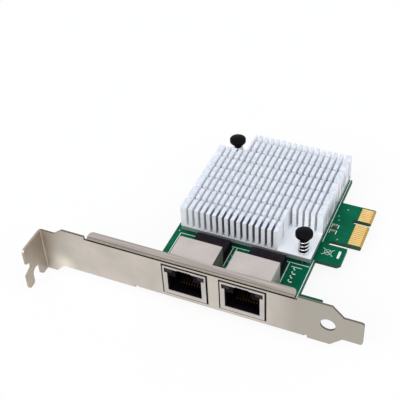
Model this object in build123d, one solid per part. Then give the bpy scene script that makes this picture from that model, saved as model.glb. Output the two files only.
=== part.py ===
from build123d import *
import os

# A dual-port network interface card with a full-height bracket, in millimetres.
# While modelling, x runs along the bracket from the outer plane of its tab, y runs from the bracket's
# outer face to the rear of the card, and z runs up from the lower edge of the bracket's face, away
# from the board. The finished pieces are moved so that the origin is the middle of the key notch, at
# the tips of the card-edge connector and in the board's middle plane.

# Bracket, folded from one sheet
SHEET = 0.86
BEND_INSIDE = 0.5
BRACKET_LENGTH = 120.02
FACE_HEIGHT = 18.42
NECK_DROP = 2.77
NECK_TOP_END = 6.4
SHOULDER_TOP = 9.7
NECK_BOTTOM = -3.4
NECK_BOTTOM_END = 4.9
SHOULDER_BOTTOM = 8.2
TAPER_START = 109.2
TAPER_END = 113.3
TONGUE_WIDTH = 10.19
TONGUE_CORNER = 1.0
TONGUE_HOLE = 5.3
TONGUE_HOLE_X = 108.1
TOP_FLANGE_START = 20.0
TOP_FLANGE_END = 96.4
TOP_FLANGE_DEPTH = 3.59
FLANGE_CORNER = 1.5
RELIEF_WIDTH = 1.1
LOWER_FLANGE_DROP = 0.25
LOWER_FLANGE_DEPTH = 3.2
LOWER_FLANGE_START = 38.6
LOWER_FLANGE_END = 100.2
EAR_WIDTH = 8.0
EAR_DEPTH = 10.0
EAR_COLLAR = 0.8
EAR_COLLAR_WALL = 0.7

# Bracket tab, seen along x
TAB_REACH = 11.43
TAB_CHAMFER = 0.7
NICK_TOP = 9.0
NICK_BOTTOM = 5.5
NICK_DEPTH = 2.4
PRONG_BULGE = 1.2
PRONG_LOW = -2.6
PRONG_SLOPE = 1.4
PRONG_ROUND = 1.3
NOTCH_WIDTH = 4.42
NOTCH_CENTRE = 6.6
NOTCH_TOP = 3.4
HEEL_WIDTH = 3.0
HEEL_RISE = 2.2

# Board
BOARD_THICK = 1.57
BOARD_GAP = 0.1
BOARD_LEFT = 39.9
BOARD_RIGHT = 93.5
BOARD_REAR = 79.5
FOOT_REACH = 8.3
FOOT_DEPTH = 14.4
HOLD_TAB_REACH = 9.0
HOLD_TAB_WIDTH = 9.25
HOLD_TAB_CORNER = 1.2
SLOT_WIDTH = 2.1
SLOT_END = 1.4

# Card-edge connector
TONGUE_REACH = 13.4
TONGUE_SPAN = 21.2
KEY_CENTRE = 57.15
KEY_WIDTH = 1.9
KEY_DEPTH = 6.9
TIP_BEVEL = 0.45
FINGER_PITCH = 1.0
FINGER_WIDTH = 0.7
FINGER_LENGTH = 4.3
FINGER_THICK = 0.05
FINGER_SETBACK = 0.75
FINGERS_FRONT = 11
FINGERS_REAR = 7
TONGUE_MARGIN = 1.1
KEY_TO_FINGER = 1.5

# Bracket screws
SCREW_RADIUS = 1.45
SCREW_LENGTH = 4.0
SCREW_HEAD_RADIUS = 2.8
SCREW_HEAD_HEIGHT = 1.9
SCREW_RECESS_WIDTH = 3.0
SCREW_RECESS_SLOT = 0.7
SCREW_RECESS_DEPTH = 1.1
SCREW_INSET = 4.8
SCREW_DISTANCE = 6.2
THREAD_CLEARANCE = 0.05
SCREW_HOLE_CLEARANCE = 0.2

# Jacks
JACK_FIRST = 57.2
JACK_PITCH = 21.15
JACK_WIDTH = 16.0
JACK_HEIGHT = 13.15
JACK_DEPTH = 15.4
JACK_STANDOFF = 0.42
JACK_PROUD = 0.3
APERTURE_GAP = 0.27
SHIELD = 0.25
SHIELD_LIP = 3.4
JACK_FIT = 0.05
OPENING_JAMB = 1.675
OPENING_SILL = 1.7
BAND_JAMB = 0.6
BAND_LOW = 10.2
BAND_HIGH = 12.3
LATCH_GAP_WIDTH = 5.0
LATCH_GAP_HIGH = 12.6
SHIELD_LEG_WIDTH = 1.5
SHIELD_LEG_FROM_FACE = 11.2
SHIELD_LEG_BELOW = 1.0
SPRING_TAB_WIDTH = 1.8
SPRING_TAB_LENGTH = 4.5
SPRING_TAB_SLIT = 0.3
SPRING_TAB_HEIGHT = 7.2
SPRING_TAB_FROM_FACE = 7.0

# Jack housings
PLUG_JAMB = 2.05
PLUG_FLOOR = 1.9
PLUG_TOP = 8.8
PLUG_DEPTH = 11.0
LATCH_WIDTH = 6.6
LATCH_TOP = 11.9
LATCH_DEPTH = 9.0
HOUSING_REAR_GAP = 0.95
HOUSING_RAIL_WIDTH = 1.2
PEG_RADIUS = 1.6
PEG_INSET = 2.3
PEG_FROM_FACE = 7.6
PEG_CLEARANCE = 0.05
PEG_END = 0.2

# Jack wires
WIRE_COUNT = 8
WIRE_PITCH = 1.02
WIRE_WIDTH = 0.35
WIRE_THICK = 0.3
WIRE_HEIGHT = 1.0
WIRE_FRONT = 3.0
WIRE_TIP_DEPTH = 8.9
WIRE_TIP_HEIGHT = 3.9
WIRE_BEND = 0.5
WIRE_BEND_ROOM = 1.0
WIRE_ROWS = (10.2, 12.4)
WIRE_CLEARANCE = 0.1
TAIL_BELOW = 1.2
TAIL_HOLE_CLEARANCE = 0.2

# Indicator lamps
LED_WIDTH = 2.85
LED_HEIGHT = 1.95
LED_LENGTH = 8.0
LED_LEAD = 0.45
LED_LEAD_PITCH = 1.27

# Transformer modules behind the jacks
MAG_WIDTH = 13.4
MAG_SHIFT = -0.4
MAG_FRONT = 17.4
MAG_DEPTH = 10.0
MAG_TOP = 4.8
MAG_STANDOFF = 0.2
MAG_DRAFT = 0.25
MAG_UPRIGHT_SHARE = 0.45
MAG_EXIT_SHARE = 0.3
MAG_LEAD_COUNT = 11
MAG_LEAD_PITCH = 1.1
GULL_WIDTH = 0.42
GULL_THICK = 0.2
GULL_BEND_SHARE = 0.6
GULL_FOOT = 0.7
GULL_REACH = 1.2

# Heat sink, chip and pad
SINK_FRONT = 28.83
SINK_INSET_LEFT = 2.95
SINK_INSET_RIGHT = 0.55
SINK_INSET_REAR = 1.43
SINK_BASE = 2.06
FIN_HEIGHT = 8.93
FIN_GAP = 0.945
FIN_PITCH = 2.345
CUT_WIDTH = 1.2
CUT_PITCH = 6.57
CUT_FIRST = 6.42
FRONT_CORNER_WIDTH = 12.45
FRONT_CORNER_DEPTH = 13.57
REAR_CORNER_WIDTH = 10.95
REAR_CORNER_DEPTH = 10.67
CHIP_SIZE = 17.0
CHIP_THICK = 1.75
CHIP_CAP = 14.6
CHIP_CARRIER = 0.6
PAD_INSET = 0.3
PAD_THICK = 0.6

# Push pins and their springs
PIN_FRONT_INSET = (3.6, 2.73)
PIN_REAR_INSET = (5.45, 5.67)
PIN_RADIUS = 1.4
PIN_CLEARANCE = 0.1
PIN_HEAD_RADIUS = 3.15
PIN_HEAD_RIM = 1.1
PIN_HEAD_DOME = 0.8
PIN_HEAD_LOW = 8.3
BARB_RADIUS = 1.95
BARB_LENGTH = 3.15
BARB_TIP_RADIUS = 0.8
BARB_GAP = 0.05
PIN_SLIT = 0.8
PIN_SLIT_RISE = 0.8
SPRING_WIRE = 0.5
SPRING_RADIUS = 1.85
SPRING_TURNS = 4.75
SPRING_SEAT = 0.05

# Small parts on the board
CHIP_CAP_SIZE = (1.6, 0.8, 0.8)
CHIP_RESISTOR_SIZE = (1.6, 0.8, 0.45)
DECOUPLING_OFFSET = 2.2
DECOUPLING_PITCH = 3.2
DECOUPLING_COUNT = 4
COUPLING_BEYOND_EDGE = 1.4
COUPLING_BEFORE_KEY = (7.85, 4.75)
RESISTOR_ROW_OFFSET = (-17.9, -16.95)
RESISTOR_ROW_PITCH = 2.6
RESISTOR_COUNT = 8
SMALL_CHIPS_FROM_REAR = 9.0
FLASH_FROM_LEFT = 16.1
FLASH_SIZE = (4.9, 3.9, 1.45)
FLASH_LEAD_COUNT = 4
REGULATOR_FROM_RIGHT = 13.0
REGULATOR_SIZE = (6.5, 3.5, 1.6)
REGULATOR_LEAD_COUNT = 3
REGULATOR_PITCH = 2.3
SO_PITCH = 1.27
INDUCTOR_FROM_RIGHT = 5.0
INDUCTOR_BEHIND_CHIP = 8.55
INDUCTOR_SIZE = 5.0
INDUCTOR_HEIGHT = 2.0
CRYSTAL_FROM_LEFT = 8.7
CRYSTAL_BEHIND_CHIP = 7.9
CRYSTAL_SIZE = (3.2, 5.0, 1.1)
CORNER_SHARE = 0.2
BULK_FROM_RIGHT = 4.0
BULK_BEHIND_CHIP = (-3.45, 1.15)
BULK_SIZE = (3.5, 2.8, 1.9)

# Places worked out from the sizes above
NECK_TOP = FACE_HEIGHT - NECK_DROP
BEND_OUTSIDE = BEND_INSIDE + SHEET
BOARD_BOTTOM = SHEET - LOWER_FLANGE_DROP
BOARD_TOP = BOARD_BOTTOM + BOARD_THICK
BOARD_FRONT = BEND_OUTSIDE + BOARD_GAP
FOOT_END = BOARD_RIGHT + FOOT_REACH
TONGUE_TIP = BOARD_RIGHT + TONGUE_REACH
TONGUE_FRONT = KEY_CENTRE - KEY_TO_FINGER - (FINGERS_FRONT - 1) * FINGER_PITCH - TONGUE_MARGIN
JACK_CENTRES = (JACK_FIRST, JACK_FIRST + JACK_PITCH)
OPENING_WIDTH = JACK_WIDTH - 2 * OPENING_JAMB
BAND_WIDTH = JACK_WIDTH - 2 * BAND_JAMB
PLUG_WIDTH = JACK_WIDTH - 2 * PLUG_JAMB
PEG_OFFSET = JACK_WIDTH / 2 - PEG_INSET
JACK_FACE = -JACK_PROUD
JACK_BOTTOM = BOARD_TOP + JACK_STANDOFF
JACK_TOP = JACK_BOTTOM + JACK_HEIGHT
JACK_REAR = JACK_FACE + JACK_DEPTH
SINK_BOTTOM = BOARD_TOP + CHIP_THICK + PAD_THICK
SINK_FLOOR = SINK_BOTTOM + SINK_BASE
SINK_LEFT = BOARD_LEFT + SINK_INSET_LEFT
SINK_RIGHT = BOARD_RIGHT - SINK_INSET_RIGHT
SINK_REAR = BOARD_REAR - SINK_INSET_REAR
CHIP_CENTRE = ((SINK_LEFT + SINK_RIGHT) / 2, (SINK_FRONT + SINK_REAR) / 2)
FIN_GAP_COUNT = int((SINK_RIGHT - SINK_LEFT) / FIN_PITCH) - 1
CUT_COUNT = int((SINK_REAR - SINK_FRONT - CUT_FIRST) / CUT_PITCH) + 1
COUPLING_PLACES = [(BOARD_RIGHT + COUPLING_BEYOND_EDGE, KEY_CENTRE - y) for y in COUPLING_BEFORE_KEY]
FLASH_PLACE = (BOARD_LEFT + FLASH_FROM_LEFT, BOARD_REAR - SMALL_CHIPS_FROM_REAR)
REGULATOR_PLACE = (BOARD_RIGHT - REGULATOR_FROM_RIGHT, BOARD_REAR - SMALL_CHIPS_FROM_REAR)
INDUCTOR_PLACE = (BOARD_RIGHT - INDUCTOR_FROM_RIGHT, CHIP_CENTRE[1] + INDUCTOR_BEHIND_CHIP)
CRYSTAL_PLACE = (BOARD_LEFT + CRYSTAL_FROM_LEFT, CHIP_CENTRE[1] + CRYSTAL_BEHIND_CHIP)
BULK_PLACES = [(BOARD_RIGHT - BULK_FROM_RIGHT, CHIP_CENTRE[1] + y) for y in BULK_BEHIND_CHIP]
PIN_FRONT_PLACE = (SINK_RIGHT - PIN_FRONT_INSET[0], SINK_FRONT + PIN_FRONT_INSET[1])
PIN_REAR_PLACE = (SINK_LEFT + PIN_REAR_INSET[0], SINK_REAR - PIN_REAR_INSET[1])
PIN_HOLE = PIN_RADIUS + PIN_CLEARANCE
SCREW_HOLE = SCREW_RADIUS + THREAD_CLEARANCE
SCREW_PLACES = (
    (LOWER_FLANGE_START + SCREW_INSET, SCREW_DISTANCE),
    (LOWER_FLANGE_END - SCREW_INSET, SCREW_DISTANCE),
)
DATUM = (TONGUE_TIP, KEY_CENTRE, BOARD_TOP - BOARD_THICK / 2)
STANDING = (Align.CENTER, Align.CENTER, Align.MIN)
FOLD_LAP = 0.3
NEAR = 0.01
BEYOND = 5.0


def block(x0, x1, y0, y1, z0, z1):
    """A box between two corners."""
    return Pos(x0, y0, z0) * Box(x1 - x0, y1 - y0, z1 - z0, align=Align.MIN)


def rod(place, z0, z1, radius):
    """An upright cylinder at an (x, y) place."""
    return Pos(place[0], place[1], z0) * Cylinder(radius, z1 - z0, align=STANDING)


def upright_plate(points, y0, y1):
    """A plate whose outline is given as (x, z) points."""
    return extrude(Plane.XZ.offset(-y1) * make_face(Polyline(*points, close=True)), y1 - y0)


def side_plate(points, x0, x1):
    """A plate whose outline is given as (y, z) points."""
    return extrude(Plane.YZ.offset(x0) * make_face(Polyline(*points, close=True)), x1 - x0)


def flat_plate(points, z0, z1):
    """A plate whose outline is given as (x, y) points."""
    return extrude(Plane.XY.offset(z0) * make_face(Polyline(*points, close=True)), z1 - z0)


def fold(plane, outer_leg, corner, end_leg, inner_corner, length):
    """A folded strip: an L outline with both its corners rounded, drawn along the plane's normal."""
    outline = make_face(Polyline(outer_leg[0], corner, *end_leg, inner_corner, outer_leg[1], close=True))
    outline = fillet(outline.vertices().sort_by_distance(Vector(*corner))[0], BEND_OUTSIDE)
    outline = fillet(outline.vertices().sort_by_distance(Vector(*inner_corner))[0], BEND_INSIDE)
    return extrude(plane * outline, length)


def strip(points, bend, x, width, thick):
    """A bent strip in a plane of constant x, along (y, z) points."""
    path = FilletPolyline(*[(x, y, z) for y, z in points], radius=bend)
    start = Plane(origin=path @ 0, x_dir=(1, 0, 0), z_dir=path % 0)
    return sweep(start * Rectangle(width, thick), path=path)


def join(parts):
    """Several separate solids kept together as one group."""
    return Compound(children=list(parts))


def bracket():
    return folded_sheet() - apertures() - bracket_holes() - reliefs()


def folded_sheet():
    collars = [rod(place, -LOWER_FLANGE_DROP - EAR_COLLAR, -LOWER_FLANGE_DROP, SCREW_HOLE + EAR_COLLAR_WALL)
               for place in SCREW_PLACES]
    return face_plate() + tab() + top_flange() + lower_flange() + ears() + collars


def face_plate():
    middle = FACE_HEIGHT / 2
    points = [
        (BEND_OUTSIDE, NECK_BOTTOM), (NECK_BOTTOM_END, NECK_BOTTOM), (SHOULDER_BOTTOM, 0), (TAPER_START, 0),
        (TAPER_END, middle - TONGUE_WIDTH / 2), (BRACKET_LENGTH, middle - TONGUE_WIDTH / 2),
        (BRACKET_LENGTH, middle + TONGUE_WIDTH / 2), (TAPER_END, middle + TONGUE_WIDTH / 2),
        (TAPER_START, FACE_HEIGHT), (SHOULDER_TOP, FACE_HEIGHT), (NECK_TOP_END, NECK_TOP),
        (BEND_OUTSIDE, NECK_TOP),
    ]
    plate = upright_plate(points, 0, SHEET)
    tip_edges = plate.edges().filter_by(Axis.Y).group_by(Axis.X)[-1]
    plate = fillet(tip_edges, TONGUE_CORNER)
    plate -= block(TOP_FLANGE_START, TOP_FLANGE_END, -SHEET, BEYOND, FACE_HEIGHT - BEND_OUTSIDE,
                   FACE_HEIGHT + SHEET)
    return plate - block(LOWER_FLANGE_START, LOWER_FLANGE_END, -SHEET, BEYOND, -SHEET,
                         BEND_OUTSIDE - LOWER_FLANGE_DROP)


def tab():
    """The tab that is bent towards the viewer, with its screw notch and the fold that carries it."""
    tip = -TAB_REACH - BEYOND
    lap = BEND_OUTSIDE + FOLD_LAP
    sheet = fold(Plane.XY.offset(NECK_BOTTOM), ((0, tip), (SHEET, tip)), (0, SHEET), ((lap, SHEET), (lap, 0)),
                 (SHEET, 0), NECK_TOP - NECK_BOTTOM)
    blank = side_plate(tab_outline(), -SHEET, BEND_OUTSIDE + SHEET) - screw_notch()
    corners = blank.edges().filter_by(Axis.X)
    corners = corners.filter_by_position(Axis.Z, PRONG_LOW - NEAR, PRONG_LOW + NEAR)
    return sheet & fillet(corners, PRONG_ROUND)


def tab_outline():
    notch_outer = -NOTCH_CENTRE - NOTCH_WIDTH / 2
    prong_outer = -TAB_REACH - PRONG_BULGE
    nick_inner = -TAB_REACH + NICK_DEPTH
    return [
        (SHEET, NECK_BOTTOM), (SHEET, NECK_TOP), (-TAB_REACH + TAB_CHAMFER, NECK_TOP),
        (-TAB_REACH, NECK_TOP - TAB_CHAMFER), (-TAB_REACH, NICK_TOP), (nick_inner, NICK_TOP - TAB_CHAMFER),
        (nick_inner, NICK_BOTTOM), (prong_outer, NICK_BOTTOM - PRONG_SLOPE), (prong_outer, PRONG_LOW),
        (notch_outer, PRONG_LOW), (notch_outer, PRONG_LOW + HEEL_RISE),
        (-HEEL_WIDTH - HEEL_RISE, NECK_BOTTOM + HEEL_RISE), (-HEEL_WIDTH, NECK_BOTTOM),
    ]


def screw_notch():
    radius = NOTCH_WIDTH / 2
    centre = NOTCH_TOP - radius
    slot = block(-SHEET, BEND_OUTSIDE, -NOTCH_CENTRE - radius, -NOTCH_CENTRE + radius, NECK_BOTTOM - SHEET,
                 centre)
    end = Plane.YZ.offset(-SHEET) * Pos(-NOTCH_CENTRE, centre) * Circle(radius)
    return slot + extrude(end, SHEET + BEND_OUTSIDE)


def top_flange():
    start = FACE_HEIGHT - BEND_OUTSIDE - FOLD_LAP
    under = FACE_HEIGHT - SHEET
    flange = fold(Plane.YZ.offset(TOP_FLANGE_START), ((0, start), (SHEET, start)), (0, FACE_HEIGHT),
                  ((TOP_FLANGE_DEPTH, FACE_HEIGHT), (TOP_FLANGE_DEPTH, under)), (SHEET, under),
                  TOP_FLANGE_END - TOP_FLANGE_START)
    return fillet(flange.edges().filter_by(Axis.Z).group_by(Axis.Y)[-1], FLANGE_CORNER)


def lower_flange():
    low = -LOWER_FLANGE_DROP
    start = low + BEND_OUTSIDE + FOLD_LAP
    return fold(Plane.YZ.offset(LOWER_FLANGE_START), ((0, start), (SHEET, start)), (0, low),
                ((LOWER_FLANGE_DEPTH, low), (LOWER_FLANGE_DEPTH, BOARD_BOTTOM)), (SHEET, BOARD_BOTTOM),
                LOWER_FLANGE_END - LOWER_FLANGE_START)


def ears():
    """The two ears of the lower flange that lie under the board."""
    starts = (LOWER_FLANGE_START, LOWER_FLANGE_END - EAR_WIDTH)
    plates = [block(x, x + EAR_WIDTH, BEND_OUTSIDE, EAR_DEPTH, -LOWER_FLANGE_DROP, BOARD_BOTTOM)
              for x in starts]
    return [fillet(plate.edges().filter_by(Axis.Z).group_by(Axis.Y)[-1], FLANGE_CORNER) for plate in plates]


def apertures():
    """Openings for the jacks, cut as deep as the flanges reach."""
    half = JACK_WIDTH / 2 + APERTURE_GAP
    deep = TOP_FLANGE_DEPTH + SHEET
    return [block(x - half, x + half, -SHEET, deep, JACK_BOTTOM - APERTURE_GAP, JACK_TOP + APERTURE_GAP)
            for x in JACK_CENTRES]


def bracket_holes():
    hole = Plane.XZ.offset(-2 * SHEET) * Pos(TONGUE_HOLE_X, FACE_HEIGHT / 2) * Circle(TONGUE_HOLE / 2)
    threads = [rod(place, -BEYOND, BEYOND, SCREW_HOLE) for place in SCREW_PLACES]
    return threads + [extrude(hole, 4 * SHEET)]


def reliefs():
    """Notches in the face beside the ends of the two flanges, cut before bending."""
    top = FACE_HEIGHT - BEND_OUTSIDE
    low = BEND_OUTSIDE - LOWER_FLANGE_DROP
    cuts = []
    for x in (TOP_FLANGE_START - RELIEF_WIDTH, TOP_FLANGE_END):
        cuts.append(block(x, x + RELIEF_WIDTH, -SHEET, 2 * SHEET, top, FACE_HEIGHT + SHEET))
    for x in (LOWER_FLANGE_START - RELIEF_WIDTH, LOWER_FLANGE_END):
        cuts.append(block(x, x + RELIEF_WIDTH, -SHEET, 2 * SHEET, -SHEET, low))
    return cuts


def bracket_screw(place):
    head = rod(place, BOARD_TOP, BOARD_TOP + SCREW_HEAD_HEIGHT, SCREW_HEAD_RADIUS)
    head = fillet(head.edges().group_by(Axis.Z)[-1], SCREW_HEAD_HEIGHT / 2)
    shank = rod(place, BOARD_TOP - SCREW_LENGTH, BOARD_TOP, SCREW_RADIUS)
    low = BOARD_TOP + SCREW_HEAD_HEIGHT - SCREW_RECESS_DEPTH
    for width, depth in ((SCREW_RECESS_WIDTH, SCREW_RECESS_SLOT), (SCREW_RECESS_SLOT, SCREW_RECESS_WIDTH)):
        head -= Pos(place[0], place[1], low) * Box(width, depth, BEYOND, align=STANDING)
    return head + shank


def board():
    plate = flat_plate(board_outline(), BOARD_BOTTOM, BOARD_TOP)
    plate -= [connector_slot(), key_notch()]
    plate -= board_holes()
    return bevelled_tips(plate)


def board_outline():
    foot_rear = BOARD_FRONT + FOOT_DEPTH
    hold_front = TONGUE_FRONT - SLOT_WIDTH - HOLD_TAB_WIDTH
    hold_tip = BOARD_RIGHT + HOLD_TAB_REACH
    return [
        (BOARD_LEFT, BOARD_FRONT), (FOOT_END, BOARD_FRONT), (FOOT_END, foot_rear), (BOARD_RIGHT, foot_rear),
        (BOARD_RIGHT, hold_front), (hold_tip - HOLD_TAB_CORNER, hold_front),
        (hold_tip, hold_front + HOLD_TAB_CORNER), (hold_tip, TONGUE_FRONT),
        (TONGUE_TIP, TONGUE_FRONT), (TONGUE_TIP, TONGUE_FRONT + TONGUE_SPAN),
        (BOARD_RIGHT, TONGUE_FRONT + TONGUE_SPAN), (BOARD_RIGHT, BOARD_REAR), (BOARD_LEFT, BOARD_REAR),
    ]


def connector_slot():
    """The round-ended slot between the hold-down tab and the connector tongue."""
    middle = TONGUE_FRONT - SLOT_WIDTH / 2
    start = BOARD_RIGHT + SLOT_END + SLOT_WIDTH / 2
    slot = block(start, TONGUE_TIP + BEYOND, middle - SLOT_WIDTH / 2, middle + SLOT_WIDTH / 2, -BEYOND,
                 BEYOND)
    return slot + rod((start, middle), -BEYOND, BEYOND, SLOT_WIDTH / 2)


def key_notch():
    start = TONGUE_TIP - KEY_DEPTH + KEY_WIDTH / 2
    slot = block(start, TONGUE_TIP + BEYOND, KEY_CENTRE - KEY_WIDTH / 2, KEY_CENTRE + KEY_WIDTH / 2,
                 -BEYOND, BEYOND)
    return slot + rod((start, KEY_CENTRE), -BEYOND, BEYOND, KEY_WIDTH / 2)


def bevelled_tips(plate):
    edges = plate.edges().filter_by(Axis.Y).group_by(Axis.X)[-1]
    return chamfer(edges, TIP_BEVEL)


def board_holes():
    places = [(place, SCREW_RADIUS + SCREW_HOLE_CLEARANCE) for place in SCREW_PLACES]
    places += [(PIN_FRONT_PLACE, PIN_HOLE), (PIN_REAR_PLACE, PIN_HOLE)]
    for x in JACK_CENTRES:
        places += [(place, WIRE_WIDTH / 2 + TAIL_HOLE_CLEARANCE) for place in wire_tails(x)]
        places += [(place, LED_LEAD / 2 + TAIL_HOLE_CLEARANCE) for place in led_tails(x)]
        places += [((x + side * PEG_OFFSET, JACK_FACE + PEG_FROM_FACE), PEG_RADIUS + PEG_CLEARANCE)
                   for side in (-1, 1)]
        places += [((x + side * (JACK_WIDTH - SHIELD) / 2, JACK_FACE + SHIELD_LEG_FROM_FACE),
                    SHIELD_LEG_WIDTH / 2 + TAIL_HOLE_CLEARANCE) for side in (-1, 1)]
    return [rod(place, BOARD_BOTTOM - BEYOND, BOARD_TOP + BEYOND, radius) for place, radius in places]


def finger_places():
    """The y of each contact finger, from the bracket to the rear."""
    front = [KEY_CENTRE - KEY_TO_FINGER - i * FINGER_PITCH for i in reversed(range(FINGERS_FRONT))]
    rear = [KEY_CENTRE + KEY_TO_FINGER + i * FINGER_PITCH for i in range(FINGERS_REAR)]
    return front + rear


def edge_contacts(z0):
    end = TONGUE_TIP - FINGER_SETBACK
    half = FINGER_WIDTH / 2
    return join(block(end - FINGER_LENGTH, end, y - half, y + half, z0, z0 + FINGER_THICK)
                for y in finger_places())


def jack_shield(x):
    """The folded metal shell of one jack, open underneath behind a short lip."""
    half = JACK_WIDTH / 2
    shell = block(x - half, x + half, JACK_FACE, JACK_REAR, JACK_BOTTOM, JACK_TOP)
    inner = half - SHIELD
    front = JACK_FACE + SHIELD
    shell -= block(x - inner, x + inner, front, JACK_REAR - SHIELD, JACK_BOTTOM + SHIELD, JACK_TOP - SHIELD)
    shell -= block(x - inner, x + inner, JACK_FACE + SHIELD_LIP, JACK_REAR - SHIELD, JACK_BOTTOM - SHIELD,
                   JACK_TOP - SHIELD)
    shell -= shield_opening(x)
    shell -= spring_tab_slits(x)
    for side in (-1, 1):
        middle = JACK_FACE + SHIELD_LEG_FROM_FACE
        leg_x = x + side * (half - SHIELD / 2)
        shell += block(leg_x - SHIELD / 2, leg_x + SHIELD / 2, middle - SHIELD_LEG_WIDTH / 2,
                       middle + SHIELD_LEG_WIDTH / 2, BOARD_BOTTOM - SHIELD_LEG_BELOW, JACK_BOTTOM + SHIELD)
    return shell


def shield_opening(x):
    """The stepped opening of the front: the plug, the band with the lamps and the latch."""
    steps = (
        (OPENING_WIDTH, OPENING_SILL, BAND_LOW), (BAND_WIDTH, BAND_LOW, BAND_HIGH),
        (LATCH_GAP_WIDTH, BAND_HIGH, LATCH_GAP_HIGH),
    )
    return [block(x - width / 2, x + width / 2, JACK_FACE - SHIELD, JACK_FACE + 2 * SHIELD, JACK_BOTTOM + low,
                  JACK_BOTTOM + high) for width, low, high in steps]


def spring_tab_slits(x):
    """U-shaped slits that leave a springy tab in each side wall."""
    cuts = []
    y0 = JACK_FACE + SPRING_TAB_FROM_FACE
    z0 = JACK_BOTTOM + SPRING_TAB_HEIGHT
    for side in (-1, 1):
        x0 = x + side * JACK_WIDTH / 2 - 2 * SHIELD
        x1 = x0 + 4 * SHIELD
        ring = block(x0, x1, y0, y0 + SPRING_TAB_LENGTH, z0, z0 + SPRING_TAB_WIDTH)
        ring -= block(x0, x1, y0 + SPRING_TAB_SLIT, y0 + SPRING_TAB_LENGTH, z0 + SPRING_TAB_SLIT,
                      z0 + SPRING_TAB_WIDTH - SPRING_TAB_SLIT)
        cuts.append(ring)
    return cuts


def housing_box():
    """Half width, front, rear, bottom and top of the moulded body inside a shield."""
    half = JACK_WIDTH / 2 - SHIELD - JACK_FIT
    front = JACK_FACE + SHIELD + JACK_FIT
    rear = JACK_REAR - SHIELD - HOUSING_REAR_GAP
    return half, front, rear, JACK_BOTTOM + SHIELD + JACK_FIT, JACK_TOP - SHIELD - JACK_FIT


def jack_housing(x):
    half, front, rear, bottom, top = housing_box()
    body = block(x - half, x + half, front, rear, bottom, top)
    body -= [plug_cavity(x), latch_channel(x)] + led_pockets(x) + wire_channels(x)
    for side in (-1, 1):
        rail = x + side * (half - HOUSING_RAIL_WIDTH / 2)
        body += block(rail - HOUSING_RAIL_WIDTH / 2, rail + HOUSING_RAIL_WIDTH / 2,
                      JACK_FACE + SHIELD_LIP + JACK_FIT, rear, BOARD_TOP, bottom)
        body += rod((x + side * PEG_OFFSET, JACK_FACE + PEG_FROM_FACE), BOARD_BOTTOM + PEG_END,
                    JACK_BOTTOM + OPENING_SILL, PEG_RADIUS)
    return body


def plug_cavity(x):
    return block(x - PLUG_WIDTH / 2, x + PLUG_WIDTH / 2, JACK_FACE, JACK_FACE + PLUG_DEPTH,
                 JACK_BOTTOM + PLUG_FLOOR, JACK_BOTTOM + PLUG_TOP)


def latch_channel(x):
    return block(x - LATCH_WIDTH / 2, x + LATCH_WIDTH / 2, JACK_FACE, JACK_FACE + LATCH_DEPTH,
                 JACK_BOTTOM + PLUG_FLOOR, JACK_BOTTOM + LATCH_TOP)


def led_middle(x, side):
    """The middle of a lamp: its x, and its z inside the band of the front opening."""
    offset = BAND_WIDTH / 2 - JACK_FIT - LED_WIDTH / 2
    return x + side * offset, JACK_BOTTOM + (BAND_LOW + BAND_HIGH) / 2


def led_pockets(x):
    """The upper corners of the body, open to the front and the rear."""
    pockets = []
    for side in (-1, 1):
        middle, height = led_middle(x, side)
        half = LED_WIDTH / 2 + JACK_FIT
        tall = LED_HEIGHT / 2 + JACK_FIT
        pockets.append(block(middle - half, middle + half, JACK_FACE, JACK_REAR, height - tall,
                             height + tall))
    return pockets


def led_lamp(x, side):
    middle, height = led_middle(x, side)
    front = JACK_FACE + SHIELD + JACK_FIT
    lamp = block(middle - LED_WIDTH / 2, middle + LED_WIDTH / 2, front, front + LED_LENGTH,
                 height - LED_HEIGHT / 2, height + LED_HEIGHT / 2)
    return fillet(lamp.edges().filter_by(Axis.Z).group_by(Axis.Y)[0], LED_LEAD)


def led_lead_depth():
    return JACK_REAR - SHIELD - HOUSING_REAR_GAP / 2


def led_tails(x):
    """The (x, y) places where the lamps' leads go through the board."""
    return [(led_middle(x, side)[0] + step * LED_LEAD_PITCH / 2, led_lead_depth())
            for side in (-1, 1) for step in (-1, 1)]


def led_leads(x):
    start = JACK_FACE + SHIELD + JACK_FIT + LED_LENGTH
    height = led_middle(x, 1)[1]
    path = [(start, height), (led_lead_depth(), height), (led_lead_depth(), BOARD_BOTTOM - TAIL_BELOW)]
    return join(strip(path, LED_LEAD, place[0], LED_LEAD, LED_LEAD) for place in led_tails(x))


def wire_tails(x):
    """The (x, y) places where the contact wires go through the board, in two staggered rows."""
    first = x - (WIRE_COUNT - 1) / 2 * WIRE_PITCH
    return [(first + i * WIRE_PITCH, JACK_FACE + WIRE_ROWS[i % 2]) for i in range(WIRE_COUNT)]


def wire_path(tail_y):
    """Up from the board, forward along the floor, and back up into the plug's space."""
    floor = JACK_BOTTOM + WIRE_HEIGHT
    return [
        (tail_y, BOARD_BOTTOM - TAIL_BELOW), (tail_y, floor), (JACK_FACE + WIRE_FRONT, floor),
        (JACK_FACE + WIRE_TIP_DEPTH, JACK_BOTTOM + WIRE_TIP_HEIGHT),
    ]


def jack_contacts(x):
    return join(strip(wire_path(y), WIRE_BEND, tail_x, WIRE_WIDTH, WIRE_THICK) for tail_x, y in wire_tails(x))


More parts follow.
